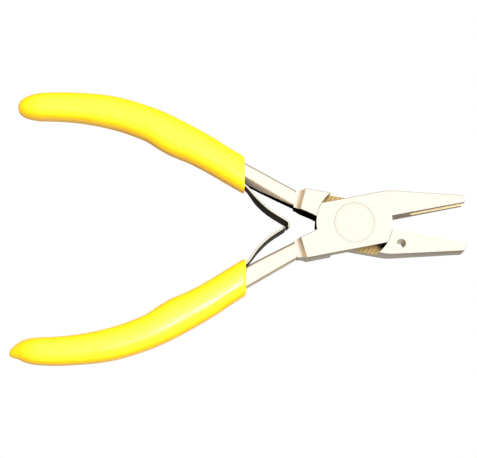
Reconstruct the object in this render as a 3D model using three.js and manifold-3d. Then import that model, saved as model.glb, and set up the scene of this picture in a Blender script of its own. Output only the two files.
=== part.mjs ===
// Crimping pliers with a riveted lap joint, a pair of leaf springs and dipped vinyl grips.
// Millimetres, +Z up. The pivot's axis is Z, the jaws point along +X, and the joint's underside is z = 0.
// Each lever is drawn closed, with its jaw's mating face on y = 0, then swung open by openAngle.
import * as THREE from 'three';
import { mergeVertices } from 'three/addons/utils/BufferGeometryUtils.js';
import Module from 'manifold-3d';

const wasm = await Module();
wasm.setup();

// Joint
const openDegrees = 10.4;
const openAngle = THREE.MathUtils.degToRad(openDegrees);
const jointRadius = 10.4;
const jointHalfWidth = 7.1;
const jointThickness = 8.4;
const rivetRadius = 2.75;
const rivetHeadRadius = 5.5;
const rivetHeadDepth = 1.4;
const edgeChamfer = 0.6;
const blockCorner = 0.4;

// Jaws
const jawLength = 31;
const jawShoulder = jointRadius + 1.1;
const shoulderEase = 1.5;
const jawTipThickness = 7.4;
const jawTipCorner = 0.4;
const upperJawTip = 1.9;
const lowerJawTip = 2.4;
const grooveWidth = 3.6;
const grooveDepth = 0.8;
const grooveStart = jointRadius + 5.6;
const holeRadius = 1.25;
const holeAt = { x: jointRadius + 3.1, y: 3.5 };

// Handles: the steel core inside the grips
const blockEnd = -jointRadius - 4.5;
const stepLength = 2.2;
const neckStart = { x: -jointRadius - 3.2, y: 3.0 };
const neckHalfWidth = 2.2;
const neckSplay = 0.75;
const coreMouth = { x: -31.5, y: 8.75 };
const coreHalfWidth = 2.6;
const bellyHalfWidth = 3.05;
const bellyAt = 0.6;
const coreEndHalfWidth = 2.1;
const coreThickness = 5.4;
const coreEndThickness = 4.6;
const handleReach = 97;
const handleBow = [13.72, 17.73, 19.76, 19.12, 16.6];

// Grips
const vinylWall = 1.5;
const vinylCover = 1.9;
const vinylEnd = 4;
const gripDome = 8;
const gripClosing = 0.12;
const gripMouthAt = -29.8;
const vinylOverLeaf = 1.15;
const vinylOverRivet = 0.55;
const rivetBulgeReach = 7;

// Leaf springs
const leafThickness = 0.65;
const leafWidth = 6;
const leafRoot = 25;
const leafRootFade = 6;
const leafBow = [[1.71, -1], [4.55, -4.64], [7.71, -7.65]];
const hookedTip = [[-18.9, 0.95], [-18.15, 0.35], [-18.1, -0.45], [-18.45, -1]];
const plainTip = [[-19, 1.05]];
const springRivetRadius = 1.1;
const springRivetHead = 1.8;
const springRivetHeadHeight = 0.5;
const springRivetBack = 21.5;

// Clearances
const seatGap = 0.3;
const runningGap = 0.15;
const sunk = 0.1;

// How far the leaf and its rivet's head stand from the core, and how far the grip bulges over them
const leafStands = seatGap + leafThickness;
const headStands = leafStands + seatGap + springRivetHeadHeight;
const springBulge = leafStands + vinylOverLeaf - vinylWall;
const rivetBulge = headStands + seatGap + vinylOverRivet - vinylWall - springBulge;

// Cutting and meshing
const overcut = 1;
const hair = 0.001;
const reach = 60;
const roundSides = 64;
const ringCrowding = 1.8;
const coreSquareness = 4;
const gripSquareness = 3;

// Solids

function solid(geometry) {
  geometry.deleteAttribute('normal');
  geometry.deleteAttribute('uv');
  const merged = mergeVertices(geometry);
  const vertProperties = new Float32Array(merged.attributes.position.array);
  const triVerts = new Uint32Array(merged.index.array);
  return new wasm.Manifold(new wasm.Mesh({ numProp: 3, vertProperties, triVerts }));
}

function mesh(name, body, material) {
  const { vertProperties, triVerts } = body.getMesh();
  const geometry = new THREE.BufferGeometry();
  geometry.setAttribute('position', new THREE.BufferAttribute(vertProperties, 3));
  geometry.setIndex(new THREE.BufferAttribute(triVerts, 1));
  geometry.computeVertexNormals();
  const made = new THREE.Mesh(geometry, material);
  made.name = name;
  return made;
}

function outline(points) {
  return new THREE.Shape(points.map(([x, y]) => new THREE.Vector2(x, y)));
}

// A plan outline as a plate from z = low to z = high, with chamfered rims if asked.
function plate(points, low, high, chamfer = 0) {
  const settings = {
    depth: high - low - 2 * chamfer,
    bevelEnabled: chamfer > 0,
    bevelThickness: chamfer,
    bevelSize: chamfer,
    bevelOffset: -chamfer,
    bevelSegments: 1,
  };
  return new THREE.ExtrudeGeometry(outline(points), settings).translate(0, 0, low + chamfer);
}

// A side view outline (x along the tool, y up) as a wall running across the tool.
function wall(points) {
  const settings = { depth: 2 * reach, bevelEnabled: false };
  return new THREE.ExtrudeGeometry(outline(points), settings).rotateX(Math.PI / 2).translate(0, reach, 0);
}

function disc(radius, low, high) {
  const geometry = new THREE.CylinderGeometry(radius, radius, high - low, roundSides);
  return geometry.rotateX(Math.PI / 2).translate(0, 0, (low + high) / 2);
}

function arcPoints(centre, radius, from, to, steps) {
  const points = [];
  for (let i = 0; i <= steps; i += 1) {
    const angle = THREE.MathUtils.lerp(from, to, i / steps);
    points.push([centre[0] + radius * Math.cos(angle), centre[1] + radius * Math.sin(angle)]);
  }
  return points;
}

// Handle core: a curve in plan, with a half-width and a half-thickness along it

function handleAxis() {
  const points = [neckStart, coreMouth].map((p) => new THREE.Vector3(p.x, p.y, 0));
  handleBow.forEach((height, i) => {
    const along = (i + 1) / handleBow.length;
    points.push(new THREE.Vector3(THREE.MathUtils.lerp(coreMouth.x, -handleReach, along), height, 0));
  });
  return new THREE.CatmullRomCurve3(points, false, 'centripetal');
}

const axis = handleAxis();
const axisLength = axis.getLength();
const coreLength = axisLength - vinylEnd;
const mouthAlong = Math.hypot(coreMouth.x - neckStart.x, coreMouth.y - neckStart.y);

function frameAt(along) {
  const u = THREE.MathUtils.clamp(along / axisLength, 0, 1);
  const point = axis.getPointAt(u);
  const tangent = axis.getTangentAt(u).normalize();
  const outward = new THREE.Vector3().crossVectors(tangent, new THREE.Vector3(0, 0, 1));
  return { point, outward };
}

function coreHalfWidthAt(along) {
  const belly = axisLength * bellyAt;
  const neck = THREE.MathUtils.smoothstep(along, 0, mouthAlong);
  const swell = THREE.MathUtils.smoothstep(along, mouthAlong, belly);
  const taper = THREE.MathUtils.smoothstep(along, belly, axisLength);
  const atMouth = THREE.MathUtils.lerp(neckHalfWidth, coreHalfWidth, neck);
  const full = THREE.MathUtils.lerp(atMouth, bellyHalfWidth, swell);
  return THREE.MathUtils.lerp(full, coreEndHalfWidth, taper);
}

function coreHalfThicknessAt(along) {
  const taper = THREE.MathUtils.smoothstep(along, mouthAlong + leafRoot, axisLength);
  return THREE.MathUtils.lerp(coreThickness, coreEndThickness, taper) / 2;
}

// A bar along the handle's axis: a cylinder bent onto it, its round section squared off by power.
// section(along) gives the half-width, the half-thickness and how far the middle moves outward.
// Its rings crowd towards the far end, where the bar closes.
function bar(from, to, steps, sides, power, section) {
  const geometry = new THREE.CylinderGeometry(1, 1, 1, sides, steps);
  const position = geometry.attributes.position;
  const square = (value) => Math.sign(value) * Math.abs(value) ** (2 / power);
  for (let i = 0; i < position.count; i += 1) {
    const radius = Math.hypot(position.getX(i), position.getZ(i));
    const angle = Math.atan2(position.getZ(i), position.getX(i));
    const along = THREE.MathUtils.lerp(from, to, 1 - (0.5 - position.getY(i)) ** ringCrowding);
    const { halfWidth, halfThickness, shift } = section(along);
    const { point, outward } = frameAt(along);
    const across = shift + radius * halfWidth * square(Math.cos(angle));
    point.addScaledVector(outward, across);
    position.setXYZ(i, point.x, point.y, radius * halfThickness * square(Math.sin(angle)));
  }
  return geometry;
}

function coreSection(extra) {
  return (along) => ({
    halfWidth: coreHalfWidthAt(along) + extra,
    halfThickness: coreHalfThicknessAt(along) + extra,
    shift: 0,
  });
}

// Rivet at the pivot: a shank with a countersunk head flush in each face

function pivotRivetShape(extra) {
  const half = jointThickness / 2;
  const upper = [
    [rivetRadius + extra, half - rivetHeadDepth - extra],
    [rivetHeadRadius + extra, half - extra],
  ];
  if (extra > 0) {
    upper.push([rivetHeadRadius + extra, half + overcut]);
  }
  upper.push([0, upper.at(-1)[1]]);
  const lower = upper.map(([r, z]) => [r, -z]).reverse();
  const profile = [...lower, ...upper].map(([r, z]) => new THREE.Vector2(r, z));
  return new THREE.LatheGeometry(profile, roundSides).rotateX(Math.PI / 2);
}

// Lever: drawn closed with its handle on +y, its jaw on -y and its half of the lap joint below z = 0

const neckSlope = (coreMouth.y - neckStart.y) / (coreMouth.x - neckStart.x);

function innerEdgeAt(x) {
  return neckStart.y + (x - neckStart.x) * neckSlope * neckSplay - neckHalfWidth - sunk;
}

function outerEdgeAt(x) {
  return neckStart.y + (x - neckStart.x) * neckSlope + neckHalfWidth + sunk;
}

function leverBlank(jawTip) {
  const half = jointThickness / 2;
  const stepEnd = blockEnd - stepLength;
  const wideEnd = -jointRadius - overcut;
  const stepFoot = outerEdgeAt(stepEnd);
  const shoulderDrop = (jointHalfWidth - jawTip) * shoulderEase / (jawLength - jawShoulder);
  const plan = [
    [jawLength, overcut],
    [jointRadius + overcut, overcut],
    [jointRadius + overcut, jointHalfWidth],
    [blockEnd + blockCorner, jointHalfWidth],
    [blockEnd, jointHalfWidth - blockCorner / 2],
    [blockEnd - stepLength / 3, THREE.MathUtils.lerp(stepFoot, jointHalfWidth, 1 / 3)],
    [stepEnd, stepFoot],
    [stepEnd, innerEdgeAt(stepEnd)],
    [wideEnd, innerEdgeAt(wideEnd)],
    [wideEnd, -jointHalfWidth],
    [jawShoulder - shoulderEase, -jointHalfWidth],
    [jawShoulder + shoulderEase, -jointHalfWidth + shoulderDrop],
    [jawLength - jawTipCorner, -jawTip - sunk],
    [jawLength, -jawTip + jawTipCorner],
  ];
  const blank = solid(plate(plan, -half, half, edgeChamfer));

  const tipHalf = jawTipThickness / 2;
  const neckHalf = coreThickness / 2 + sunk;
  const drop = half - neckHalf;
  const fillet = (stepLength ** 2 + drop ** 2) / (2 * drop);
  const sweep = Math.asin(Math.min(1, stepLength / fillet));
  const filletTop = arcPoints([stepEnd, neckHalf + fillet], fillet, -Math.PI / 2 + sweep, -Math.PI / 2, 8);
  const filletLow = filletTop.map(([x, z]) => [x, -z]).reverse();
  const side = [
    [jawLength + overcut, -tipHalf],
    [jawLength + overcut, tipHalf],
    [jawShoulder, half + hair],
    [blockEnd + hair, half + hair],
    ...filletTop,
    [stepEnd - 3 * overcut, neckHalf],
    [stepEnd - 3 * overcut, -neckHalf],
    ...filletLow,
    [blockEnd + hair, -half - hair],
    [jawShoulder, -half - hair],
  ];
  return blank.intersect(solid(wall(side)));
}

function lever(jawTip) {
  const half = jointThickness / 2 + overcut;
  const round = solid(disc(jointRadius, -half, half));
  const jawSide = [[0, 0], [reach, 0], [reach, reach], [0, reach]];
  const slope = innerEdgeAt(-1) - innerEdgeAt(0);
  const handleSide = [
    [0, innerEdgeAt(0)],
    [0, -reach],
    [-reach, -reach],
    [-reach, -overcut * 2],
    [-jointRadius - 2 * overcut, -overcut],
    [-jointRadius - overcut, innerEdgeAt(0) + slope * (jointRadius + overcut)],
  ].reverse();
  const beyondJaw = solid(plate(jawSide, -half, half)).subtract(round);
  const beyondHandle = solid(plate(handleSide, -half, half)).subtract(round);
  const lap = solid(disc(jointRadius + seatGap, -seatGap / 2, half));
  const core = solid(bar(0, coreLength, 24, 16, coreSquareness, coreSection(0)));
  const block = leverBlank(jawTip).subtract(beyondJaw).subtract(beyondHandle);
  return block.add(core).subtract(lap).subtract(solid(pivotRivetShape(runningGap)));
}

// A half-round groove along a mating face, open at the tip and round at its inner end.
function grooveCutter() {
  const radius = (grooveWidth ** 2 / 4 + grooveDepth ** 2) / (2 * grooveDepth);
  const length = jawLength - grooveStart;
  const capsule = new THREE.CapsuleGeometry(radius, length, 8, 24);
  const ballReach = Math.sqrt(radius ** 2 - (radius - grooveDepth) ** 2);
  const middle = grooveStart + ballReach + length / 2;
  return capsule.rotateZ(Math.PI / 2).translate(middle, radius - grooveDepth, 0);
}

function jawHoleCutter() {
  const depth = jointThickness + 2 * overcut;
  const geometry = new THREE.CylinderGeometry(holeRadius, holeRadius, depth, 32);
  return geometry.rotateX(Math.PI / 2).translate(holeAt.x, -holeAt.y, 0);
}

// Leaf springs, in plan at rest: the root lies along the core, the free end bows to the middle line.
// The bow is measured from where the leaf leaves the grip.

function openPoint(point) {
  return point.clone().applyAxisAngle(new THREE.Vector3(0, 0, 1), -openAngle);
}

function leafCurve(tip) {
  const points = [];
  const rootEnd = mouthAlong + leafRoot;
  const offset = seatGap + leafThickness / 2;
  for (let i = 0; i < 4; i += 1) {
    const along = THREE.MathUtils.lerp(rootEnd, mouthAlong, i / 3);
    const { point, outward } = frameAt(along);
    points.push(openPoint(point.addScaledVector(outward, -coreHalfWidthAt(along) - offset)));
  }
  const leaves = points.at(-1);
  leafBow.forEach(([x, y]) => points.push(new THREE.Vector3(leaves.x + x, leaves.y + y, 0)));
  tip.forEach(([x, y]) => points.push(new THREE.Vector3(x, y, 0)));
  return new THREE.CatmullRomCurve3(points, false, 'centripetal');
}

function leafStrip(curve, extra) {
  const thickness = leafThickness + 2 * extra;
  const width = leafWidth + 2 * extra;
  const steps = 40;
  const left = [];
  const right = [];
  for (let i = 0; i <= steps; i += 1) {
    const point = curve.getPointAt(i / steps);
    const tangent = curve.getTangentAt(i / steps).normalize();
    if (i === 0) {
      point.addScaledVector(tangent, -extra);
    }
    left.push([point.x - tangent.y * thickness / 2, point.y + tangent.x * thickness / 2]);
    right.push([point.x + tangent.y * thickness / 2, point.y - tangent.x * thickness / 2]);
  }
  return plate([...left.reverse(), ...right], -width / 2, width / 2);
}

// The spring's rivet runs across the core from the leaf to the core's outer face.
function springRivetShape(extra) {
  const { outward, point } = frameAt(mouthAlong + springRivetBack);
  const halfWidth = coreHalfWidthAt(mouthAlong + springRivetBack);
  const leafFace = -halfWidth - leafStands;
  const headFace = -halfWidth - headStands - extra;
  const farFace = halfWidth - sunk + (extra > 0 ? overcut : 0);
  const profile = [
    [0, headFace],
    [springRivetHead + extra, headFace],
    [springRivetHead + extra, leafFace - seatGap + extra],
    [springRivetRadius + extra, leafFace - seatGap + extra],
    [springRivetRadius + extra, farFace],
    [0, farFace],
  ];
  const lathe = new THREE.LatheGeometry(profile.map(([r, y]) => new THREE.Vector2(r, y)), 24);
  const turn = Math.atan2(outward.y, outward.x) - Math.PI / 2;
  return lathe.rotateZ(turn).translate(point.x, point.y, 0);
}

// Grip: a dipped sleeve round the core and the leaf's root, open at its mouth and domed at its end

function gripSection(along) {
  const left = Math.max(0, axisLength - along);
  const dome = left < gripDome ? Math.sqrt(1 - (1 - left / gripDome) ** 2) : 1;
  const rootEnd = mouthAlong + leafRoot;
  const overLeaf = 1 - THREE.MathUtils.smoothstep(along, rootEnd, rootEnd + leafRootFade);
  const fromRivet = Math.abs(along - mouthAlong - springRivetBack);
  const overRivet = 1 - THREE.MathUtils.smoothstep(fromRivet, 0, rivetBulgeReach);
  const bulge = springBulge * overLeaf + rivetBulge * overRivet;
  const closing = Math.max(dome, gripClosing);
  return {
    halfWidth: (coreHalfWidthAt(along) + vinylWall + bulge / 2) * closing,
    halfThickness: (coreHalfThicknessAt(along) + vinylCover) * closing,
    shift: -bulge / 2,
  };
}

function grip(leafRoom) {
  const start = mouthAlong - leafRootFade;
  const skin = solid(bar(start, axisLength, 34, 24, gripSquareness, gripSection));
  const within = coreSection(seatGap);
  const hollow = solid(bar(start - overcut, coreLength + seatGap, 22, 16, coreSquareness, within));
  const rivetRoom = solid(springRivetShape(seatGap));
  const sleeve = skin.subtract(hollow).subtract(rivetRoom).rotate([0, 0, -openDegrees]);
  const front = [[gripMouthAt, -reach], [reach, -reach], [reach, reach], [gripMouthAt, reach]];
  return sleeve.subtract(leafRoom).subtract(solid(plate(front, -reach, reach)));
}

// Assembly

const steel = { color: 0xd9d7d0, roughness: 0.28, metalness: 1 };
const spring = { color: 0x8f8d88, roughness: 0.3, metalness: 1 };
const vinyl = { color: 0xffe81a, roughness: 0.35, metalness: 0 };
const pliers = new THREE.Group();

// The lever drawn above is the one with the upper handle. The other is the same turned half over about x.
const sides = [
  { handle: 'upper', jaw: 'lower', over: 0, jawTip: lowerJawTip, tip: hookedTip },
  { handle: 'lower', jaw: 'upper', over: 180, jawTip: upperJawTip, tip: plainTip },
];

sides.forEach(({ handle, jaw, over, jawTip, tip }) => {
  const curve = leafCurve(tip);
  const rivetRoom = solid(springRivetShape(seatGap / 2));
  const leafRoom = solid(leafStrip(curve, seatGap));
  let forging = lever(jawTip);
  forging = forging.subtract(solid(grooveCutter())).subtract(rivetRoom);
  if (jaw === 'lower') {
    forging = forging.subtract(solid(jawHoleCutter()));
  }
  const open = (body) => body.rotate([0, 0, -openDegrees]);
  const place = (body) => body.rotate([over, 0, 0]);
  const leaf = solid(leafStrip(curve, 0)).subtract(open(rivetRoom));
  const rivet = open(solid(springRivetShape(0)));
  pliers.add(mesh(`${jaw}_jaw_lever`, place(open(forging)), new THREE.MeshStandardMaterial(steel)));
  pliers.add(mesh(`${handle}_handle_grip`, place(grip(leafRoom)), new THREE.MeshStandardMaterial(vinyl)));
  pliers.add(mesh(`${handle}_leaf_spring`, place(leaf), new THREE.MeshStandardMaterial(spring)));
  pliers.add(mesh(`${handle}_spring_rivet`, place(rivet), new THREE.MeshStandardMaterial(steel)));
});

pliers.add(mesh('pivot_rivet', solid(pivotRivetShape(0)), new THREE.MeshStandardMaterial(steel)));

// The tool stands with the joint's underside on z = 0.
pliers.position.z = jointThickness / 2;

export default pliers;
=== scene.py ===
import math

import bmesh
import bpy
from mathutils import Matrix, Vector


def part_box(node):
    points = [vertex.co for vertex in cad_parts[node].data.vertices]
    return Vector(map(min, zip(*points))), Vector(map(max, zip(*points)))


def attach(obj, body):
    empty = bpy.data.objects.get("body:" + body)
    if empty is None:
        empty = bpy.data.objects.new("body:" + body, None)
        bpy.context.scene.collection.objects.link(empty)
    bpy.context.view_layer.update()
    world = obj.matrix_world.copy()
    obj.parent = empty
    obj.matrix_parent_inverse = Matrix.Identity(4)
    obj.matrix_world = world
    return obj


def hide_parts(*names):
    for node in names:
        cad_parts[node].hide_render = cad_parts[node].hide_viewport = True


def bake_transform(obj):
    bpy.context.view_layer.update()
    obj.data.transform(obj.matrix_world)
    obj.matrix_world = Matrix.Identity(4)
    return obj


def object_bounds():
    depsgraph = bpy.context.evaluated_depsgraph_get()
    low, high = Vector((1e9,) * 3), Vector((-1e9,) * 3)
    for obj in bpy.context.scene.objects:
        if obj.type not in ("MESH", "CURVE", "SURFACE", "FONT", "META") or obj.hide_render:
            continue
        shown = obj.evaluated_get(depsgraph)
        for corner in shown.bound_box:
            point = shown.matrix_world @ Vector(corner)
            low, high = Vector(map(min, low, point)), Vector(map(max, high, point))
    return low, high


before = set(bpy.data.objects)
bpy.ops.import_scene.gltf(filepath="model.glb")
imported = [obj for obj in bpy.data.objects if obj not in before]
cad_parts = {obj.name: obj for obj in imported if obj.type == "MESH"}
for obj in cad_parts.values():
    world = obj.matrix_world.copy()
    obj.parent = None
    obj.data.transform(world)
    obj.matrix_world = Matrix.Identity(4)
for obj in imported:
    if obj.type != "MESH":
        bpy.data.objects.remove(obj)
cadLow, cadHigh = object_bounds()

mm = 0.001
upperBody = "lower_jaw_side"  # the upper handle and the lower jaw are one lever
lowerBody = "upper_jaw_side"

# Places that the frame gives, in millimetres
rivetLow, rivetHigh = (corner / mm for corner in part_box("pivot_rivet"))
leafLow, leafHigh = (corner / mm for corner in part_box("upper_leaf_spring"))
midZ = (rivetLow.z + rivetHigh.z) / 2
jointHalf = (rivetHigh.z - rivetLow.z) / 2
headRadius = (rivetHigh.x - rivetLow.x) / 2
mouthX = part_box("upper_handle_grip")[1].x / mm
leafHalfWidth = (leafHigh.z - leafLow.z) / 2

openAngle = math.radians(10.4)  # how far each lever is swung from closed


def linear(hexColour):
    parts = [int(hexColour[i : i + 2], 16) / 255 for i in (1, 3, 5)]
    return [c / 12.92 if c <= 0.04045 else ((c + 0.055) / 1.055) ** 2.4 for c in parts] + [1.0]


def smoothStep(value, low, high):
    t = min(1.0, max(0.0, (value - low) / (high - low)))
    return t * t * (3 - 2 * t)


def mix(a, b, t):
    return a + (b - a) * t


def finishMesh(bm, name):
    bmesh.ops.remove_doubles(bm, verts=bm.verts, dist=0.0005)
    bmesh.ops.recalc_face_normals(bm, faces=bm.faces)
    mesh = bpy.data.meshes.new(name)
    bm.to_mesh(mesh)
    bm.free()
    made = bpy.data.objects.new(name, mesh)
    bpy.context.scene.collection.objects.link(made)
    return made


# Shapes are drawn in millimetres about the pivot's middle, then turned, flipped and placed in metres
def place(piece, turn, over):
    mesh = piece.data
    mesh.transform(Matrix.Rotation(turn, 4, "Z"))
    mesh.transform(Matrix.Rotation(math.pi if over else 0.0, 4, "X"))
    mesh.transform(Matrix.Translation((0, 0, midZ)))
    mesh.transform(Matrix.Scale(mm, 4))
    mesh.update()
    return piece


def boolean(target, tool, operation="DIFFERENCE"):
    modifier = target.modifiers.new("cut", "BOOLEAN")
    modifier.operation = operation
    modifier.solver = "EXACT"
    modifier.object = tool
    graph = bpy.context.evaluated_depsgraph_get()
    result = bpy.data.meshes.new_from_object(target.evaluated_get(graph))
    target.modifiers.clear()
    spent = target.data
    target.data = result
    bpy.data.meshes.remove(spent)
    bpy.data.objects.remove(tool)
    return target


def finishEdges(piece, width, angle):
    for polygon in piece.data.polygons:
        polygon.use_smooth = True
    bevel = piece.modifiers.new("edges", "BEVEL")
    bevel.width = width * mm
    bevel.segments = 2
    bevel.limit_method = "ANGLE"
    bevel.angle_limit = math.radians(angle)
    bevel.use_clamp_overlap = True
    bevel.harden_normals = True
    return piece


# Points along a Catmull-Rom curve, evenly spaced, with a tangent at each
def smoothPath(points, count, fineSteps=24):
    ends = [points[0] * 2 - points[1], *points, points[-1] * 2 - points[-2]]
    fine = []
    for i in range(1, len(ends) - 2):
        before, a, b, after = ends[i - 1 : i + 3]
        for k in range(fineSteps):
            t = k / fineSteps
            fine.append(
                0.5 * (2 * a + (b - before) * t + (2 * before - 5 * a + 4 * b - after) * t**2
                + (3 * a - before - 3 * b + after) * t**3)
            )
    fine.append(points[-1].copy())
    lengths = [0.0]
    for a, b in zip(fine, fine[1:]):
        lengths.append(lengths[-1] + (b - a).length)
    path = []
    k = 0
    for i in range(count):
        want = lengths[-1] * i / (count - 1)
        while k < len(fine) - 2 and lengths[k + 1] < want:
            k += 1
        t = (want - lengths[k]) / max(1e-9, lengths[k + 1] - lengths[k])
        path.append((fine[k].lerp(fine[k + 1], t), (fine[k + 1] - fine[k]).normalized()))
    return path, lengths[-1]


def plate(points, low, high, rim=0.0, rimSteps=4):
    bm = bmesh.new()
    face = bm.faces.new([bm.verts.new((x, y, low)) for x, y in points])
    grown = bmesh.ops.extrude_face_region(bm, geom=[face])
    risen = [g for g in grown["geom"] if isinstance(g, bmesh.types.BMVert)]
    bmesh.ops.translate(bm, verts=risen, vec=(0, 0, high - low))
    if rim:
        flat = [e for e in bm.edges if abs(e.verts[0].co.z - e.verts[1].co.z) < 1e-6]
        bmesh.ops.bevel(
            bm, geom=flat, offset=rim, offset_type="OFFSET", segments=rimSteps, profile=0.5,
            affect="EDGES", material=-1, clamp_overlap=True,
        )
    return bm


def disc(radius, low, high, sides=128):
    bm = bmesh.new()
    bmesh.ops.create_cone(
        bm, cap_ends=True, segments=sides, radius1=radius, radius2=radius, depth=high - low,
        matrix=Matrix.Translation((0, 0, (low + high) / 2)),
    )
    return bm


# A turned body: (radius, height) pairs from axis to axis, spun round the Z axis
def turned(profile, steps=96):
    bm = bmesh.new()
    verts = [bm.verts.new((r, 0, z)) for r, z in profile]
    edges = [bm.edges.new(pair) for pair in zip(verts, verts[1:])]
    bmesh.ops.spin(
        bm, geom=verts + edges, cent=(0, 0, 0), axis=(0, 0, 1), dvec=(0, 0, 0),
        angle=math.tau, steps=steps, use_merge=True, use_duplicate=False,
    )
    return bm


def arc(centre, radius, start, end, steps):
    angles = [math.radians(mix(start, end, i / steps)) for i in range(steps + 1)]
    return [(centre[0] + radius * math.cos(a), centre[1] + radius * math.sin(a)) for a in angles]


def addNode(tree, kind, settings=None, links=None, values=None):
    node = tree.nodes.new(kind)
    for key, value in (settings or {}).items():
        setattr(node, key, value)
    for key, value in (values or {}).items():
        node.inputs[key].default_value = value
    for key, source in (links or {}).items():
        tree.links.new(source, node.inputs[key])
    return node


def newMaterial(name):
    made = bpy.data.materials.new(name)
    made.use_nodes = True
    tree = made.node_tree
    shader = tree.nodes["Principled BSDF"]
    coords = addNode(tree, "ShaderNodeTexCoord").outputs["Object"]
    return made, tree, shader, coords


def rampNode(tree, source, low, high, look):
    ramp = addNode(tree, "ShaderNodeValToRGB", links={"Fac": source})
    first, last = ramp.color_ramp.elements
    first.position = low
    first.color = linear(look["shade"])
    last.position = high
    last.color = linear(look["colour"])
    return ramp


steelLook = {
    "colour": "#FBF9F3",
    "shade": "#F6F3EB",
    "roughness": (0.22, 0.34),
    "lineSpacing": 0.35,  # polishing lines, drawn as coarse as they need to show
    "lineHeight": 0.003,
    "grainSize": 2.5,
}


# Carbon steel, drop forged, then ground and buffed: bright, with soft streaks along the tool
def forgedSteel(name, look, turn):
    made, tree, shader, coords = newMaterial(name)
    along = addNode(
        tree, "ShaderNodeMapping", links={"Vector": coords},
        values={"Rotation": (0, 0, -turn), "Scale": (0.06, 1.0, 1.0)},
    )
    lines = addNode(
        tree, "ShaderNodeTexNoise", links={"Vector": along.outputs["Vector"]},
        values={"Scale": 1 / (look["lineSpacing"] * mm), "Detail": 3.0, "Roughness": 0.6},
    )
    cloud = addNode(
        tree, "ShaderNodeTexNoise", links={"Vector": coords},
        values={"Scale": 1 / (look["grainSize"] * mm), "Detail": 4.0, "Roughness": 0.55},
    )
    tint = rampNode(tree, cloud.outputs["Fac"], 0.3, 0.7, look)
    tree.links.new(tint.outputs["Color"], shader.inputs["Base Color"])
    low, high = look["roughness"]
    blur = addNode(
        tree, "ShaderNodeMapRange", links={"Value": lines.outputs["Fac"]},
        values={"From Min": 0.3, "From Max": 0.7, "To Min": low, "To Max": high},
    )
    tree.links.new(blur.outputs["Result"], shader.inputs["Roughness"])
    bump = addNode(
        tree, "ShaderNodeBump", links={"Height": lines.outputs["Fac"]},
        values={"Strength": 0.25, "Distance": look["lineHeight"] * mm},
    )
    tree.links.new(bump.outputs["Normal"], shader.inputs["Normal"])
    shader.inputs["Metallic"].default_value = look.get("metallic", 1.0)
    return made


# The outer walls, ground but not buffed: duller than the faces, and a darker grey that is painted shade
groundShadedLook = {
    "colour": "#B9B6AE",
    "shade": "#A3A097",
    "roughness": (0.34, 0.46),
    "lineSpacing": 0.3,
    "lineHeight": 0.006,
    "grainSize": 1.5,
}
# The steps, the necks' chamfers and the wall of the hole, not buffed: a pale straw tint, painted shade
strawShadeLook = {
    "colour": "#F6EEE0",
    "shade": "#EADFCE",
    "roughness": (0.28, 0.4),
    "lineSpacing": 0.5,
    "lineHeight": 0.004,
    "grainSize": 1.2,
    "metallic": 0.75,  # partly diffuse, so these faces also take the lamps' light
}
# The jaws' mating faces, surface ground: dull brown grey, painted shade of the narrow gap between the
# jaws
mateLook = {
    "colour": "#A8977C",
    "shade": "#8C7A60",
    "roughness": (0.36, 0.48),
    "lineSpacing": 0.5,
    "lineHeight": 0.003,
    "grainSize": 1.6,
}
# The grooves that close on a crimp, blasted: matt and pale
grooveLook = {
    "colour": "#FFF7D6",
    "shade": "#F8EBBE",
    "roughness": (0.4, 0.5),
    "lineSpacing": 0.4,
    "lineHeight": 0.003,
    "grainSize": 1.5,
    "metallic": 0.2,  # the blasted skin catches light from everywhere
}
# The lap's floors: real cutter marks, on a gold that is painted shade of the recessed floor
millShadedLook = {
    "colour": "#E2C48C",
    "shade": "#C2A268",
    "roughness": 0.34,
    "spacing": 1.0,  # cutter marks, drawn as coarse as they need to show
    "height": 0.02,
    "angle": 32.0,
    "paintedShade": "#17100A",
    "paintedShadeAt": (9.2, -5.6),  # painted shade, where the lap's floor meets the wall beside the lower jaw
    "paintedShadeReach": (1.6, 3.4),
}
wallShadeLook = {
    "colour": "#130D09",
    "shade": "#0A0705",
    "roughness": 0.5,
    "gloss": 0.0,
    "grainSize": 0.5,
    "grainHeight": 0.01,
}


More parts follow.
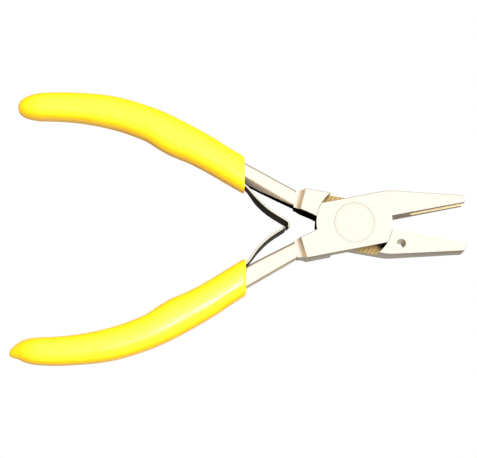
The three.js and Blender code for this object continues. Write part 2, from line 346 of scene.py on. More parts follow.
# Carbon steel, milled at the lap's floors: cutter marks on a gold that is painted shade, darker by the
# wall
def milledShadedSteel(name, look):
    made, tree, shader, coords = newMaterial(name)
    across = addNode(
        tree, "ShaderNodeMapping", links={"Vector": coords},
        values={"Rotation": (0, 0, math.radians(look["angle"]))},
    )
    # At a scale of 1 a wave texture repeats every 0.314 units
    marks = addNode(
        tree, "ShaderNodeTexWave", {"wave_type": "BANDS", "bands_direction": "X"},
        {"Vector": across.outputs["Vector"]},
        {"Scale": 0.314 / (look["spacing"] * mm), "Distortion": 0.8, "Detail": 2.0},
    )
    tint = rampNode(tree, marks.outputs["Fac"], 0.1, 0.9, look)
    flat = addNode(
        tree, "ShaderNodeMapping", links={"Vector": coords}, values={"Scale": (1.0, 1.0, 0.0)},
    )
    # Painted shade: the floor turns nearly black close to the wall beside the lower jaw
    paintedShadeAt = [c * mm for c in look["paintedShadeAt"]]
    away = addNode(
        tree, "ShaderNodeVectorMath", {"operation": "DISTANCE"},
        {0: flat.outputs["Vector"]}, {1: (*paintedShadeAt, 0)},
    )
    near, far = look["paintedShadeReach"]
    outsideShade = addNode(
        tree, "ShaderNodeMapRange", {"interpolation_type": "SMOOTHSTEP"},
        {"Value": away.outputs["Value"]}, {"From Min": near * mm, "From Max": far * mm},
    )
    tone = addNode(
        tree, "ShaderNodeMix", {"data_type": "RGBA"},
        {0: outsideShade.outputs["Result"], 7: tint.outputs["Color"]}, {6: linear(look["paintedShade"])},
    )
    tree.links.new(tone.outputs[2], shader.inputs["Base Color"])
    bump = addNode(
        tree, "ShaderNodeBump", links={"Height": marks.outputs["Fac"]},
        values={"Strength": 0.5, "Distance": look["height"] * mm},
    )
    tree.links.new(bump.outputs["Normal"], shader.inputs["Normal"])
    shader.inputs["Roughness"].default_value = look["roughness"]
    shader.inputs["Metallic"].default_value = 1.0
    return made


# Matt and nearly black: painted shade on the walls that face away from the lamps. The leaves' faces
# get the same painted shade, a little glossier
def shadedBlackSteel(name, look):
    made, tree, shader, coords = newMaterial(name)
    cloud = addNode(
        tree, "ShaderNodeTexNoise", links={"Vector": coords},
        values={"Scale": 1 / (look["grainSize"] * mm), "Detail": 4.0, "Roughness": 0.6},
    )
    tint = rampNode(tree, cloud.outputs["Fac"], 0.3, 0.7, look)
    tree.links.new(tint.outputs["Color"], shader.inputs["Base Color"])
    bump = addNode(
        tree, "ShaderNodeBump", links={"Height": cloud.outputs["Fac"]},
        values={"Strength": 0.4, "Distance": look["grainHeight"] * mm},
    )
    tree.links.new(bump.outputs["Normal"], shader.inputs["Normal"])
    shader.inputs["Roughness"].default_value = look["roughness"]
    shader.inputs["Specular IOR Level"].default_value = look["gloss"]
    return made


rivetLook = {
    "colour": "#FAF8F1",
    "shade": "#F6F2E9",
    "roughness": (0.24, 0.3),
    "ringSpacing": 0.25,
    "ringHeight": 0.002,
}


# Mild steel rivet, turned and ground flush: faint rings about its middle
def turnedSteel(name, look):
    made, tree, shader, coords = newMaterial(name)
    flat = addNode(
        tree, "ShaderNodeMapping", links={"Vector": coords}, values={"Scale": (1.0, 1.0, 0.0)},
    )
    rings = addNode(
        tree, "ShaderNodeTexWave",
        {"wave_type": "RINGS", "rings_direction": "Z"},
        {"Vector": flat.outputs["Vector"]},
        {"Scale": 0.3 / (look["ringSpacing"] * mm), "Distortion": 0.4, "Detail": 2.0},
    )
    tint = rampNode(tree, rings.outputs["Fac"], 0.2, 0.8, look)
    tree.links.new(tint.outputs["Color"], shader.inputs["Base Color"])
    bump = addNode(
        tree, "ShaderNodeBump", links={"Height": rings.outputs["Fac"]},
        values={"Strength": 0.2, "Distance": look["ringHeight"] * mm},
    )
    tree.links.new(bump.outputs["Normal"], shader.inputs["Normal"])
    low, high = look["roughness"]
    blur = addNode(
        tree, "ShaderNodeMapRange", links={"Value": rings.outputs["Fac"]},
        values={"To Min": low, "To Max": high},
    )
    tree.links.new(blur.outputs["Result"], shader.inputs["Roughness"])
    shader.inputs["Metallic"].default_value = 1.0
    return made


springLook = {
    "colour": "#F4F1E8",
    "shade": "#E6E1D4",
    "roughness": (0.16, 0.28),
    "lineSpacing": 0.3,
    "lineHeight": 0.002,
}
# The leaves' faces: nearly black, painted shade
leafShadeLook = {
    "colour": "#1A1510",
    "shade": "#0D0A08",
    "roughness": 0.38,
    "gloss": 0.03,
    "grainSize": 0.8,
    "grainHeight": 0.003,
}


# Hardened spring strip, cold rolled: bright sheared edges, and nearly black faces that are painted shade
def springSteel(name, look):
    made, tree, shader, coords = newMaterial(name)
    across = addNode(
        tree, "ShaderNodeMapping", links={"Vector": coords}, values={"Scale": (0.08, 0.08, 1.0)},
    )
    lines = addNode(
        tree, "ShaderNodeTexNoise", links={"Vector": across.outputs["Vector"]},
        values={"Scale": 1 / (look["lineSpacing"] * mm), "Detail": 2.0},
    )
    tint = rampNode(tree, lines.outputs["Fac"], 0.3, 0.7, look)
    tree.links.new(tint.outputs["Color"], shader.inputs["Base Color"])
    low, high = look["roughness"]
    blur = addNode(
        tree, "ShaderNodeMapRange", links={"Value": lines.outputs["Fac"]},
        values={"To Min": low, "To Max": high},
    )
    tree.links.new(blur.outputs["Result"], shader.inputs["Roughness"])
    bump = addNode(
        tree, "ShaderNodeBump", links={"Height": lines.outputs["Fac"]},
        values={"Strength": 0.2, "Distance": look["lineHeight"] * mm},
    )
    tree.links.new(bump.outputs["Normal"], shader.inputs["Normal"])
    shader.inputs["Metallic"].default_value = 1.0
    return made


vinylLook = {
    "colour": "#FFCE12",
    "shade": "#FFC410",
    "roughness": (0.26, 0.34),
    "cloudSize": 9.0,
    "skinSize": 1.6,  # the slight orange peel that dipping leaves
    "skinHeight": 0.006,
    "ior": 1.53,
    "glow": 0.25,  # light that passes into the vinyl and out again
    "glowRadius": (1.0, 0.45, 0.05),
    "glowDepth": 1.5,
}


# Plasticised PVC, dipped and oven fused: thick, glossy, faintly dimpled
def dippedVinyl(name, look):
    made, tree, shader, coords = newMaterial(name)
    cloud = addNode(
        tree, "ShaderNodeTexNoise", links={"Vector": coords},
        values={"Scale": 1 / (look["cloudSize"] * mm), "Detail": 3.0, "Roughness": 0.5},
    )
    tint = rampNode(tree, cloud.outputs["Fac"], 0.25, 0.6, look)
    tree.links.new(tint.outputs["Color"], shader.inputs["Base Color"])
    skin = addNode(
        tree, "ShaderNodeTexNoise", links={"Vector": coords},
        values={"Scale": 1 / (look["skinSize"] * mm), "Detail": 2.0, "Roughness": 0.5},
    )
    low, high = look["roughness"]
    blur = addNode(
        tree, "ShaderNodeMapRange", links={"Value": skin.outputs["Fac"]},
        values={"From Min": 0.3, "From Max": 0.7, "To Min": low, "To Max": high},
    )
    tree.links.new(blur.outputs["Result"], shader.inputs["Roughness"])
    bump = addNode(
        tree, "ShaderNodeBump", links={"Height": skin.outputs["Fac"]},
        values={"Strength": 0.3, "Distance": look["skinHeight"] * mm},
    )
    tree.links.new(bump.outputs["Normal"], shader.inputs["Normal"])
    shader.inputs["IOR"].default_value = look["ior"]
    shader.inputs["Subsurface Weight"].default_value = look["glow"]
    shader.inputs["Subsurface Radius"].default_value = look["glowRadius"]
    shader.inputs["Subsurface Scale"].default_value = look["glowDepth"] * mm
    return made


def setMaterial(piece, material):
    piece.data.materials.clear()
    piece.data.materials.append(material)
    return piece


handleShape = {
    "neck": (-13.6, 3.0),
    "mouth": (-31.5, 8.75),
    "reach": 97.0,
    "bow": [13.72, 17.73, 19.76, 19.12, 16.6],  # heights at even steps from the mouth to the end
    "stations": 160,
    "neckHalfWidth": 2.2,
    "halfWidth": 2.6,
    "bellyHalfWidth": 3.05,
    "bellyAt": 0.6,
    "endHalfWidth": 2.1,
    "halfThickness": 2.7,
    "endHalfThickness": 2.3,
    "taperBack": 24.0,  # behind the mouth, where the bar starts to thin
    "neckSplay": 0.75,
    "buried": 0.05,  # the block reaches this far past the bar it runs into
    "coreShort": 4.0,
    "coreRings": 70,
    "coreCrowding": 1.25,
    "coreClosing": (0.35, 2.5),
    "coreSides": 64,
    "corePower": 4.5,
    "chamferFrom": 3.0,
}

handlePoints = [Vector((*handleShape["neck"], 0)), Vector((*handleShape["mouth"], 0))]
for step, height in enumerate(handleShape["bow"], 1):
    x = mix(handleShape["mouth"][0], -handleShape["reach"], step / len(handleShape["bow"]))
    handlePoints.append(Vector((x, height, 0)))
handlePath, handleLength = smoothPath(handlePoints, handleShape["stations"])
mouthAlong = (handlePoints[1] - handlePoints[0]).length


def handleAt(along):
    t = min(1.0, max(0.0, along / handleLength)) * (len(handlePath) - 1)
    k = min(len(handlePath) - 2, int(t))
    (a, ta), (b, tb) = handlePath[k], handlePath[k + 1]
    tangent = ta.lerp(tb, t - k).normalized()
    return a.lerp(b, t - k), tangent, tangent.cross(Vector((0, 0, 1)))


def coreHalfWidth(along):
    belly = handleLength * handleShape["bellyAt"]
    full = mix(handleShape["neckHalfWidth"], handleShape["halfWidth"], smoothStep(along, 0, mouthAlong))
    full = mix(full, handleShape["bellyHalfWidth"], smoothStep(along, mouthAlong, belly))
    return mix(full, handleShape["endHalfWidth"], smoothStep(along, belly, handleLength))


def coreHalfThickness(along):
    taper = smoothStep(along, mouthAlong + handleShape["taperBack"], handleLength)
    return mix(handleShape["halfThickness"], handleShape["endHalfThickness"], taper)


def squared(value, power):
    return math.copysign(abs(value) ** (2 / power), value)


# One ring of a bar: a circle squared off, sized and set across the handle's curve
def barRing(bm, along, sides, power, halfWidth, halfThickness, shift=0.0, tilt=0.0, chamfer=0.0):
    point, tangent, outward = handleAt(along)
    overrun = along - min(max(along, 0.0), handleLength)
    ring = bmesh.ops.create_circle(bm, cap_ends=False, radius=1.0, segments=sides)["verts"]
    for v in ring:
        across = shift + halfWidth * squared(v.co.x, power)
        up = halfThickness * squared(v.co.y, power)
        proud = shift - across + abs(up) - (halfWidth + halfThickness - chamfer)
        if chamfer and proud > 0:
            across += proud / 2
            up -= math.copysign(proud / 2, up)
        v.co = point + outward * across + tangent * (across * tilt + overrun) + Vector((0, 0, up))
    return list({e for v in ring for e in v.link_edges})


def bridgeRings(bm, rings):
    for a, b in zip(rings, rings[1:]):
        bmesh.ops.bridge_loops(bm, edges=a + b)
    for end in (rings[0], rings[-1]):
        bmesh.ops.contextual_create(bm, geom=end)


leverShape = {
    "jointRadius": 10.4,
    "halfWidth": 7.1,
    "rim": 0.55,
    "lapGap": 0.04,
    "shoulderGap": 0.1,
    "jawLength": 31.0,
    "jawShoulder": 11.0,
    "shoulderRadius": 14.0,
    "jawTipHalfThickness": 3.7,
    "tipRound": [(0.45, 0.1), (0.12, -0.05), (0.0, -0.35)],  # back from the tip, and out from its height
    "shoulderSoft": 2.0,
    "spare": 1.0,  # what the forging has past the machined faces, for the cuts to take off
    "blockEnd": -14.9,
    "blockRound": [(0.8, 0.0), (0.3, 0.04)],  # ahead of the block's end, and down from its side
    "stepDrop": 0.15,
    "stepLean": 5.0,
    "stepLength": 2.2,
    "neckInset": 0.02,
    "cutterHalfLength": 40,
    "grooveWidth": 3.6,
    "grooveDepth": 0.8,
    "grooveStart": 16.0,
    "holeRadius": 1.25,
    "holeAt": (13.5, -3.5),
    "rivetRadius": 2.75,
    "rivetGap": 0.03,
    "headDepth": 1.4,
    "headEdge": 0.1,  # the straight rim at the top of the countersink
    "edge": 0.07,
    "edgeAngle": 40,
    "sliver": 0.002,  # edges shorter than this are left by the cuts, and are closed up
    "wideSides": 160,
    "narrowSides": 64,
    "wideArcSteps": 36,
    "narrowArcSteps": 8,
    "levers": [  # handle, its jaw's height at the tip, the inner chamfer near the block and at the grip
        ("upper", 2.4, (0.75, 1.7)),
        ("lower", 1.9, (0.5, 0.5)),
    ],
}


def neckEdge(x, side):
    ax, ay = handleShape["neck"]
    bx, by = handleShape["mouth"]
    slope = (by - ay) / (bx - ax)
    lean = slope if side > 0 else slope * handleShape["neckSplay"]
    return ay + (x - ax) * lean + side * (handleShape["neckHalfWidth"] + handleShape["buried"])


# The forging, drawn with its handle on +y and its jaw on -y, wider than the machined faces will leave it
def forgingBlank(s, jawTip):
    wide = s["halfWidth"]
    radius = s["shoulderRadius"]
    steps = s["narrowArcSteps"]
    past = s["jointRadius"] + s["spare"]
    stepEnd = s["blockEnd"] - s["stepLength"]
    taper = math.degrees(math.atan2(wide - jawTip, s["jawLength"] - s["jawShoulder"]))
    centre = (s["jawShoulder"] - s["shoulderSoft"], -wide + radius)
    outerNeck = neckEdge(stepEnd, 1)
    drop = wide - s["stepDrop"] - outerNeck
    length = s["stepLength"]
    hollow = (length**2 + drop**2) / (2 * drop)
    turn = math.degrees(math.asin(min(1.0, length / hollow)))
    plan = [
        (s["jawLength"], s["spare"]),
        (past, s["spare"]),
        (past, wide),
        *[(s["blockEnd"] + ahead, wide - down) for ahead, down in s["blockRound"]],
        *arc((stepEnd, outerNeck + hollow), hollow, -90 + turn, -90, steps),
        (stepEnd, neckEdge(stepEnd, -1)),
        (-past, neckEdge(-past, -1)),
        (-past, -wide),
        *arc(centre, radius, -90, -90 + taper, steps),
        *[(s["jawLength"] - back, -jawTip - out) for back, out in s["tipRound"]],
    ]
    bm = plate(plan, -jointHalf, jointHalf, s["rim"])
    for v in bm.verts:
        towardsTip = max(0.0, (v.co.x - s["jawShoulder"]) / (s["jawLength"] - s["jawShoulder"]))
        v.co.z *= mix(1.0, s["jawTipHalfThickness"] / jointHalf, min(1.0, towardsTip))
    return finishMesh(bm, "blank")


def handleCore(h, chamfers):
    bm = bmesh.new()
    rings = []
    coreEnd = handleLength - h["coreShort"]
    narrowing, over = h["coreClosing"]
    for i in range(h["coreRings"]):
        along = coreEnd * (i / (h["coreRings"] - 1)) ** h["coreCrowding"]
        close = 1 - narrowing * smoothStep(along, coreEnd - over, coreEnd)
        halfWidth, halfThickness = coreHalfWidth(along) * close, coreHalfThickness(along) * close
        chamfer = mix(*chamfers, smoothStep(along, h["chamferFrom"], mouthAlong))
        rings.append(barRing(
            bm, along, h["coreSides"], h["corePower"], halfWidth, halfThickness, chamfer=chamfer,
        ))
    bridgeRings(bm, rings)
    return finishMesh(bm, "core")


# A cutter for what lies past the mating face, beside the other lever's half of the joint
def beyondJaw(s):
    radius = s["jointRadius"]
    far = s["jawLength"] + 5 * s["spare"]
    edge = arc((0, 0), radius, 90, 0, s["wideArcSteps"])[:-1]
    plan = [(radius, 0), (far, 0), (far, far), (0, far), *edge]
    return finishMesh(plate(plan, -2 * jointHalf, 2 * jointHalf), "beyondJaw")


# And one for what lies past the neck's inner edge, on the handle's side
def beyondHandle(s):
    radius = s["jointRadius"]
    spare = s["spare"]
    lift = neckEdge(0, -1)
    slope = neckEdge(-1, -1) - lift
    meet = -radius + s["neckInset"]
    far = 3 * s["halfWidth"]
    startAngle = 180 - math.degrees(math.asin((lift - slope * meet) / radius))
    plan = [
        *arc((0, 0), radius, startAngle, 270, s["wideArcSteps"]),
        (0, -far),
        (-2 * far, -far),
        (-2 * far, -2 * spare),
        (-radius - 2 * spare, -spare),
        (-radius - spare, lift + slope * (radius + spare)),
    ]
    return finishMesh(plate(plan, -2 * jointHalf, 2 * jointHalf), "beyondHandle")


def grooveTool(s):
    radius = (s["grooveWidth"] ** 2 / 4 + s["grooveDepth"] ** 2) / (2 * s["grooveDepth"])
    reach = math.sqrt(radius**2 - (radius - s["grooveDepth"]) ** 2)
    length = s["jawLength"] + 2 * s["spare"] - s["grooveStart"] - reach
    profile = [(r, z) for r, z in arc((0, 0), radius, -90, 0, 12)] + [(radius, length), (0, length)]
    bm = turned(profile, s["narrowSides"])
    bmesh.ops.rotate(bm, verts=bm.verts, cent=(0, 0, 0), matrix=Matrix.Rotation(math.pi / 2, 3, "Y"))
    centre = (s["grooveStart"] + reach, radius - s["grooveDepth"], 0)
    bmesh.ops.translate(bm, verts=bm.verts, vec=centre)
    return finishMesh(bm, "groove")


def rivetProfile(s, extra, top):
    neck = jointHalf - s["headDepth"]
    return [
        (0, -top),
        (headRadius + extra, -top),
        (headRadius + extra, -jointHalf + s["headEdge"]),
        (s["rivetRadius"] + extra, -neck),
        (s["rivetRadius"] + extra, neck),
        (headRadius + extra, jointHalf - s["headEdge"]),
        (headRadius + extra, top),
        (0, top),
    ]


# The two round cutters that lead the block's flats down to the neck's
def stepTools(s):
    stepEnd = s["blockEnd"] - s["stepLength"]
    neckHalf = handleShape["halfThickness"] + handleShape["buried"]
    drop = jointHalf - neckHalf
    radius = (s["stepLength"] ** 2 + drop**2) / (2 * drop)
    lean = math.radians(s["stepLean"])
    for side in (1, -1):
        bm = disc(radius, -s["cutterHalfLength"], s["cutterHalfLength"], s["wideSides"])
        bmesh.ops.rotate(bm, verts=bm.verts, cent=(0, 0, 0), matrix=Matrix.Rotation(math.pi / 2, 3, "X"))
        bmesh.ops.rotate(bm, verts=bm.verts, cent=(0, 0, 0), matrix=Matrix.Rotation(-lean, 3, "Z"))
        centre = (stepEnd, neckEdge(stepEnd, 0), side * (neckHalf + radius))
        bmesh.ops.translate(bm, verts=bm.verts, vec=centre)
        yield finishMesh(bm, "step")


def forgedLever(name, s, jawTip, chamfers, hasHole):
    lever = forgingBlank(s, jawTip)
    for tool in stepTools(s):
        boolean(lever, tool)
    boolean(lever, handleCore(handleShape, chamfers), "UNION")
    boolean(lever, beyondJaw(s))
    boolean(lever, beyondHandle(s))
    lap = disc(s["jointRadius"] + s["shoulderGap"], -s["lapGap"] / 2, 2 * jointHalf, s["wideSides"])
    boolean(lever, finishMesh(lap, "lap"))
    boolean(lever, finishMesh(turned(rivetProfile(s, s["rivetGap"], 2 * jointHalf)), "rivetRoom"))
    boolean(lever, grooveTool(s))
    if hasHole:
        bm = disc(s["holeRadius"], -2 * jointHalf, 2 * jointHalf, s["narrowSides"])
        bmesh.ops.translate(bm, verts=bm.verts, vec=(*s["holeAt"], 0))
        boolean(lever, finishMesh(bm, "hole"))
    bm = bmesh.new()
    bm.from_mesh(lever.data)
    bmesh.ops.remove_doubles(bm, verts=bm.verts, dist=s["sliver"])
    bmesh.ops.dissolve_degenerate(bm, edges=bm.edges, dist=s["sliver"])
    bm.to_mesh(lever.data)
    bm.free()
    lever.name = name
    return lever


# Which steel each face gets, by where it lies and which way it looks; the darker ones are painted shade
def sortFinishes(lever, s):
    buffed, milledShaded, shadedBlack, groundShaded, strawShade, mating, groove = range(7)
    near = 0.1
    neckTop = handleShape["halfThickness"] + near
    stepEnd = s["blockEnd"] - s["stepLength"]
    leanSlope = math.tan(math.radians(s["stepLean"]))
    for polygon in lever.data.polygons:
        x, y, z = polygon.center
        n = polygon.normal
        level = abs(n.z)  # 0 on a wall and 1 on a flat
        reach = math.hypot(x, y)
        fromHole = math.hypot(x - s["holeAt"][0], y - s["holeAt"][1])
        alongStep = x - stepEnd - (y - neckEdge(stepEnd, 0)) * leanSlope
        inLap = reach < s["jointRadius"] + 0.05 and abs(z) < jointHalf - 0.2
        onLapFloor = inLap and (n.z > 0.9 or reach < headRadius + near)
        onJointWall = abs(reach - s["jointRadius"]) < 0.35 and level < 0.5
        onMatingFace = x > s["jointRadius"] - 1 and n.y > 0.8 and abs(y) < 0.01
        inGrooveHeight = -s["grooveDepth"] - near < y < 0 and abs(z) < s["grooveWidth"] / 2
        onNeckInside = x < 0 and n.y < -0.12
        onStep = -0.3 < alongStep < s["stepLength"] and neckTop < abs(z) < jointHalf - 0.02
        if onLapFloor:
            finish = milledShaded
        # Painted shade: the joint's walls that look towards -x are nearly black, the others a darker
        # grey
        elif onJointWall:
            finish = shadedBlack if n.x < 0 else groundShaded
        # The jaws' mating faces get the brown grey of painted shade
        elif onMatingFace:
            finish = mating
        elif inGrooveHeight and x > s["grooveStart"] - near:
            finish = groove
        # The hole's wall, the necks' chamfers and the steps get the pale straw tint of painted shade
        elif fromHole < s["holeRadius"] and level < 0.5:
            finish = strawShade
        # The necks' inner walls get the nearly black painted shade
        elif onNeckInside and level < 0.6:
            finish = shadedBlack
        elif onNeckInside and level < 0.97:
            finish = strawShade
        elif onStep and level > 0.2:
            finish = strawShade
        # The other walls get the darker grey of painted shade
        elif level < 0.5 and x > stepEnd - 0.4:
            finish = groundShaded
        else:
            finish = buffed
        polygon.material_index = finish


# The lap floors' gold is painted shade
milledShaded = milledShadedSteel("milledSteelPaintedShade", millShadedLook)
# The walls' near black is painted shade
shadedBlack = shadedBlackSteel("wallPaintedShade", wallShadeLook)
for handle, jawTip, chamfers in leverShape["levers"]:
    over = handle == "lower"
    jaw = "upper" if over else "lower"
    body = lowerBody if over else upperBody
    lever = forgedLever(f"{jaw}_jaw_forging", leverShape, jawTip, chamfers, not over)
    turn = openAngle if over else -openAngle
    lever.data.materials.clear()
    for material in (
        forgedSteel(f"buffedForgedSteel_{jaw}", steelLook, turn), milledShaded, shadedBlack,
        forgedSteel(f"groundShadedSteel_{jaw}", groundShadedLook, turn),
        forgedSteel(f"strawShadedSteel_{jaw}", strawShadeLook, turn),
        forgedSteel(f"matingFaceSteel_{jaw}", mateLook, turn),
        forgedSteel(f"blastedGrooveSteel_{jaw}", grooveLook, turn),
    ):
        lever.data.materials.append(material)
    sortFinishes(lever, leverShape)
    place(lever, -openAngle, over)
    finishEdges(lever, leverShape["edge"], leverShape["edgeAngle"])
    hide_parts(f"{jaw}_jaw_lever")
    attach(lever, body)
    print("lever", jaw, len(lever.data.polygons), "faces")


rivetShape = {
    "ringRadius": 5.05,  # the faint ring on each head
    "ringDepth": 0.04,
    "ringHalfWidth": (0.08, 0.04),  # at the face and at the bottom
    "gap": 0.02,
    "edge": 0.12,
    "edgeRound": 0.04,
    "sides": 128,
    "sharpAngle": 30,
}


def pivotRivet(s, r):
    neck = jointHalf - s["headDepth"]
    top = jointHalf
    atFace, atBottom = r["ringHalfWidth"]
    half = [
        (s["rivetRadius"], 0),
        (s["rivetRadius"], neck),
        (headRadius - r["gap"], top - s["headEdge"]),
        (headRadius - r["edgeRound"], top - r["edgeRound"]),
        (headRadius - r["edge"], top),
        (r["ringRadius"] + atFace, top),
        (r["ringRadius"] + atBottom, top - r["ringDepth"]),
        (r["ringRadius"] - atBottom, top - r["ringDepth"]),
        (r["ringRadius"] - atFace, top),
        (0, top),
    ]
    profile = [(x, -z) for x, z in reversed(half)] + half[1:]
    return finishMesh(turned(profile, r["sides"]), "pivot_rivet_turned")


rivet = place(pivotRivet(leverShape, rivetShape), 0.0, False)
for polygon in rivet.data.polygons:
    polygon.use_smooth = True
rivet.data.set_sharp_from_angle(angle=math.radians(rivetShape["sharpAngle"]))
setMaterial(rivet, turnedSteel("turnedRivetSteel", rivetLook))
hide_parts("pivot_rivet")
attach(rivet, upperBody)
print("rivet made")


gripShape = {
    "wall": 1.5,
    "cover": 1.9,  # over the flat of the handle
    "endWall": 4.0,
    "dome": 6.5,
    "bluntness": 0.75,
    "dripSag": 0.5,  # the last drop of a dip hangs to one side
    "power": 2.9,
    "bulge": 0.6,
    "root": 25.0,
    "rivetBack": 21.5,
    "rivetBulge": 0.5,
    "rivetReach": 7.0,
    "lip": 0.75,
    "lining": 0.05,
    "leafRoom": 0.75,  # on the inner side, under the mouth
    "hollowPower": 3.6,
    "squareMouth": 12.0,  # the mouth is square to the tool, and the rings turn to the handle over this
    "leafFade": 6.0,
    "roomOver": 0.6,  # the share of the leaf's room that the handle's flats get
    "roomFade": 2.0,
    "dripFrom": 0.9,
    "ripple": 0.06,
    "rippleRates": (0.31, 0.13),
    "sides": 64,
    "rings": 110,
    "hollowRings": 24,
    "lipRings": 12,
    "domeRings": 25,
    "grips": [("upper", 0.0), ("lower", 1.5)],  # handle, and how far its last drop hangs past the dome
}


def gripSection(g, along):
    root = mouthAlong + g["root"]
    fromRivet = abs(along - mouthAlong - g["rivetBack"])
    bulge = g["bulge"] * (1 - smoothStep(along, root, root + g["leafFade"]))
    bulge += g["rivetBulge"] * (1 - smoothStep(fromRivet, 0, g["rivetReach"]))
    quick, slow = g["rippleRates"]
    ripple = g["ripple"] * math.sin(along * quick) * math.sin(along * slow + 1.0)
    return (
        coreHalfWidth(along) + g["wall"] + bulge / 2 + ripple,
        coreHalfThickness(along) + g["cover"] + ripple / 2,
        -bulge / 2,
    )


# The dipped skin: up the hollow, round the lip at the mouth, then down the outside to the domed end
def dippedGrip(name, g, drip):
    middle, tangent, outward = handleAt(mouthAlong)
    opened = Matrix.Rotation(-openAngle, 3, "Z")
    middle, tangent, outward = opened @ middle, opened @ tangent, opened @ outward
    mouthTilt = -outward.x / tangent.x
    start = mouthAlong + (mouthX - middle.x) / tangent.x
    sides, leaf = g["sides"], g["leafRoom"]
    bm = bmesh.new()
    rings = []

    def tiltAt(along):
        return mouthTilt * (1 - smoothStep(along, start, start + g["squareMouth"]))

    rootFrom, rootTo = start + g["root"] - g["roomFade"], start + g["root"] + g["roomFade"]
    for i in range(g["hollowRings"]):
        along = mix(handleLength - g["endWall"], start + g["lip"], i / (g["hollowRings"] - 1))
        room = leaf * (1 - smoothStep(along, rootFrom, rootTo))
        rings.append(barRing(
            bm, along, sides, g["hollowPower"], coreHalfWidth(along) + g["lining"] + room / 2,
            coreHalfThickness(along) + g["lining"] + room * g["roomOver"], -room / 2, tiltAt(along),
        ))
    innerWidth = coreHalfWidth(start) + g["lining"] + leaf / 2
    innerThickness = coreHalfThickness(start) + g["lining"] + leaf * g["roomOver"]
    width, thickness, shift = gripSection(g, start)
    for i in range(1, g["lipRings"]):
        turn = math.pi * i / g["lipRings"]
        out = (1 - math.cos(turn)) / 2
        along = start + g["lip"] * (1 - math.sin(turn))
        rings.append(barRing(
            bm, along, sides, mix(g["hollowPower"], g["power"], out), mix(innerWidth, width, out),
            mix(innerThickness, thickness, out), mix(-leaf / 2, shift, out), tiltAt(start),
        ))
    first = start + g["lip"]
    domeFrom = handleLength - g["dome"]
    for i in range(g["rings"]):
        along = mix(first, domeFrom, i / (g["rings"] - 1))
        width, thickness, shift = gripSection(g, along)
        rings.append(barRing(bm, along, sides, g["power"], width, thickness, shift, tiltAt(along)))
    for i in range(1, g["domeRings"]):
        turn = math.pi / 2 * i / g["domeRings"]
        along = domeFrom + g["dome"] * math.sin(turn)
        width, thickness, shift = gripSection(g, along)
        close = math.cos(turn) ** g["bluntness"]
        stretch = drip * smoothStep(turn, g["dripFrom"], math.pi / 2)
        rings.append(barRing(
            bm, along + stretch, sides, mix(g["power"], 2.0, math.sin(turn)), width * close,
            thickness * close, shift + g["dripSag"] * stretch,
        ))
    bridgeRings(bm, rings)
    return finishMesh(bm, name)


grips = []
vinyl = dippedVinyl("dippedVinylYellow", vinylLook)
for handle, drip in gripShape["grips"]:
    over = handle == "lower"
    grip = place(dippedGrip(f"{handle}_dipped_grip", gripShape, drip), -openAngle, over)
    for polygon in grip.data.polygons:
        polygon.use_smooth = True
    setMaterial(grip, vinyl)
    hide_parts(f"{handle}_handle_grip")
    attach(grip, lowerBody if over else upperBody)
    grips.append(grip)
    print("grip", handle, len(grip.data.polygons), "faces")


leafShape = {
    "thickness": 0.65,
    "seat": 0.3,
    "bow": [(-29.3, 10.5), (-26.46, 6.86), (-23.3, 3.85)],
    "root": 25.0,
    "rootPoints": 6,
    "stations": 130,
    "upperTip": [(-18.9, 0.95), (-18.15, 0.35), (-18.1, -0.45), (-18.45, -1.0)],
    "lowerTip": [(-19.0, 1.05)],
    "leavesAt": 10.5,  # how far off the middle line the leaf leaves its grip
    "reach": -18.9,  # where the tips meet
    "sides": 28,
    "powers": (6, 12),  # how square the strip is across its thickness and its width
    "tipNarrowing": 0.25,
    "narrowingStations": 4,
    "twistLength": 4.0,
    "upperLean": 0.09,  # each leaf stands slightly twisted
    "lowerLean": 0.05,
}


# Rolled strip on the handle's inner side, from under the grip out to where the two leaves meet
def leafStrip(name, s, tip, lean):
    turn = Matrix.Rotation(-openAngle, 3, "Z")
    points = []
    for i in range(s["rootPoints"]):
        along = mix(mouthAlong + s["root"], mouthAlong, i / (s["rootPoints"] - 1))
        point, _, outward = handleAt(along)
        points.append(turn @ (point - outward * (coreHalfWidth(along) + s["seat"] + s["thickness"] / 2)))
    points += [Vector((x, y, 0)) for x, y in s["bow"]]
    points += [Vector((x, y, 0)) for x, y in tip]
    path, _ = smoothPath(points, s["stations"])
    thin, wide = s["powers"]
    bm = bmesh.new()
    rings = []
    for i, (point, tangent) in enumerate(path):
        side = Vector((-tangent.y, tangent.x, 0))
        left = min(1.0, (len(path) - 1 - i) / s["narrowingStations"])
        narrow = 1 - s["tipNarrowing"] * (1 - math.sqrt(max(0.0, 1 - (1 - left) ** 2)))
        ring = bmesh.ops.create_circle(bm, cap_ends=False, radius=1.0, segments=s["sides"])["verts"]
        for v in ring:
            across = s["thickness"] / 2 * squared(v.co.x, thin)
            up = leafHalfWidth * narrow * squared(v.co.y, wide)
            across += lean * up * smoothStep(point.x, mouthX, mouthX + s["twistLength"])
            v.co = point + side * across + Vector((0, 0, up))
        rings.append(list({e for v in ring for e in v.link_edges}))
    bridgeRings(bm, rings)
    return finishMesh(bm, name)


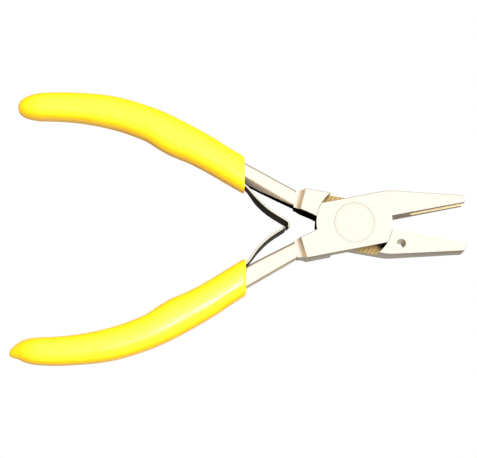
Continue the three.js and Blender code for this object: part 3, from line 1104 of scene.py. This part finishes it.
spring = springSteel("rolledSpringSteel", springLook)
leafShade = shadedBlackSteel("springSteelPaintedShade", leafShadeLook)
for handle in ("upper", "lower"):
    over = handle == "lower"
    ends, lean = leafShape[f"{handle}Tip"], leafShape[f"{handle}Lean"]
    leaf = leafStrip(f"{handle}_leaf_strip", leafShape, ends, lean)
    place(leaf, 0.0, over)
    setMaterial(leaf, spring).data.materials.append(leafShade)
    for polygon in leaf.data.polygons:
        polygon.use_smooth = True
        # The faces that look sideways get the painted shade
        polygon.material_index = 0 if abs(polygon.normal.z) > 0.6 else 1
    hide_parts(f"{handle}_leaf_spring")
    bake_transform(leaf)
    print("leaf", handle, len(leaf.data.polygons), "faces")


for handle in ("upper", "lower"):
    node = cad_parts[f"{handle}_spring_rivet"]
    setMaterial(node, turnedSteel(f"springRivetSteel_{handle}", rivetLook))


stage = {
    "floorSize": 3.0,
    "floorGap": 0.0002,
    "distance": 0.42,
    "tilt": 10.3,
    "yaw": -1.2,
    "roll": -0.45,
    "lens": 116.5,
    "sensor": 36.0,
    "aim": (-31.7, -1.6),  # in millimetres, on the joint's top face
    "lampsAim": (-0.03, 0, 0),
    "roomTilt": 25,
    "roomLight": 1.12,
}


# Matt white paper, which shines evenly instead of taking light, so it shows no shadow and no edge
def paleFloor():
    bm = bmesh.new()
    bmesh.ops.create_grid(bm, x_segments=1, y_segments=1, size=stage["floorSize"] / 2)
    bmesh.ops.translate(bm, verts=bm.verts, vec=(0, 0, cadLow.z - stage["floorGap"]))
    mesh = bpy.data.meshes.new("floor")
    bm.to_mesh(mesh)
    bm.free()
    made = bpy.data.objects.new("floor", mesh)
    bpy.context.scene.collection.objects.link(made)
    material, _, shader, _ = newMaterial("matteWhitePaper")
    shader.inputs["Base Color"].default_value = linear("#000000")
    shader.inputs["Roughness"].default_value = 1.0
    shader.inputs["Specular IOR Level"].default_value = 0.0
    shader.inputs["Emission Color"].default_value = linear("#FFFFFF")
    shader.inputs["Emission Strength"].default_value = 1.0
    made.data.materials.append(material)
    made.visible_diffuse = False
    made.visible_glossy = False
    return made


paleFloor()


lamps = {  # place, size, power and colour
    "overheadBox": ((0.12, 0.15, 0.7), (0.9, 0.6), 5.0, "#FFFDF6"),
    "sideBox": ((0.7, -0.1, 0.35), (0.5, 0.4), 2.2, "#FFF9EE"),
    "highlightBox": ((0.06, -0.06, 0.7), (0.1, 0.1), 2.8, "#FFFFFF"),
}


def softBox(name, at, size, power, colour):
    light = bpy.data.lights.new(name, "AREA")
    light.shape = "RECTANGLE"
    light.size, light.size_y = size
    light.energy = power
    light.color = linear(colour)[:3]
    made = bpy.data.objects.new(name, light)
    made.location = at
    direction = Vector(stage["lampsAim"]) - Vector(at)
    made.rotation_euler = direction.to_track_quat("-Z", "Y").to_euler()
    bpy.context.scene.collection.objects.link(made)
    return made


boxes = {name: softBox(name, *lamp) for name, lamp in lamps.items()}
boxes["overheadBox"].visible_glossy = False
boxes["sideBox"].visible_glossy = False
vinylOnly = bpy.data.collections.new("vinylOnly")  # the metal is bright enough without this lamp
for grip in grips:
    vinylOnly.objects.link(grip)
boxes["highlightBox"].light_linking.receiver_collection = vinylOnly

# The room: white overhead and to the right, brown low on the left, a grey table below
roomTilt = math.radians(stage["roomTilt"])
room = [
    (-1.0, "#6A5E50"), (-0.93, "#A59D92"), (-0.84, "#E4E1D8"), (-0.7, "#B0A89C"), (-0.4, "#86735E"),
    (-0.1, "#A08768"), (0.2, "#C8B08F"), (0.45, "#F2EADA"), (0.65, "#FFFDF6"),
]
world = bpy.data.worlds.new("studio")
bpy.context.scene.world = world
world.use_nodes = True
worldTree = world.node_tree
background = worldTree.nodes["Background"]
direction = addNode(worldTree, "ShaderNodeTexCoord").outputs["Generated"]
height = addNode(
    worldTree, "ShaderNodeVectorMath", {"operation": "DOT_PRODUCT"}, {0: direction},
    {1: (math.sin(roomTilt), 0, math.cos(roomTilt))},
).outputs["Value"]
lifted = addNode(
    worldTree, "ShaderNodeMapRange", links={"Value": height}, values={"From Min": -1.0, "From Max": 1.0},
).outputs["Result"]
sky = addNode(worldTree, "ShaderNodeValToRGB", links={"Fac": lifted})
while len(sky.color_ramp.elements) < len(room):
    sky.color_ramp.elements.new(0.5)
for element, (level, colour) in zip(sky.color_ramp.elements, room):
    element.position = (level + 1) / 2
    element.color = linear(colour)
seen = addNode(worldTree, "ShaderNodeLightPath").outputs["Is Camera Ray"]
plain = addNode(
    worldTree, "ShaderNodeMix", {"data_type": "RGBA"},
    {0: seen, 6: sky.outputs["Color"]}, {7: linear("#FFFFFF")},
)
worldTree.links.new(plain.outputs[2], background.inputs["Color"])
background.inputs["Strength"].default_value = stage["roomLight"]

cameraData = bpy.data.cameras.new("camera")
cameraData.lens = stage["lens"]
cameraData.sensor_width = stage["sensor"]
camera = bpy.data.objects.new("camera", cameraData)
aim = Vector((stage["aim"][0] * mm, stage["aim"][1] * mm, (midZ + jointHalf) * mm))
look = Matrix.Identity(3)
for key, axis in (("tilt", "X"), ("yaw", "Y"), ("roll", "Z")):
    look = look @ Matrix.Rotation(math.radians(stage[key]), 3, axis)
camera.location = aim + look.col[2] * stage["distance"]
camera.rotation_euler = look.to_euler()
bpy.context.scene.collection.objects.link(camera)
bpy.context.scene.camera = camera
bpy.context.scene.view_settings.view_transform = "Standard"
print("stage set")
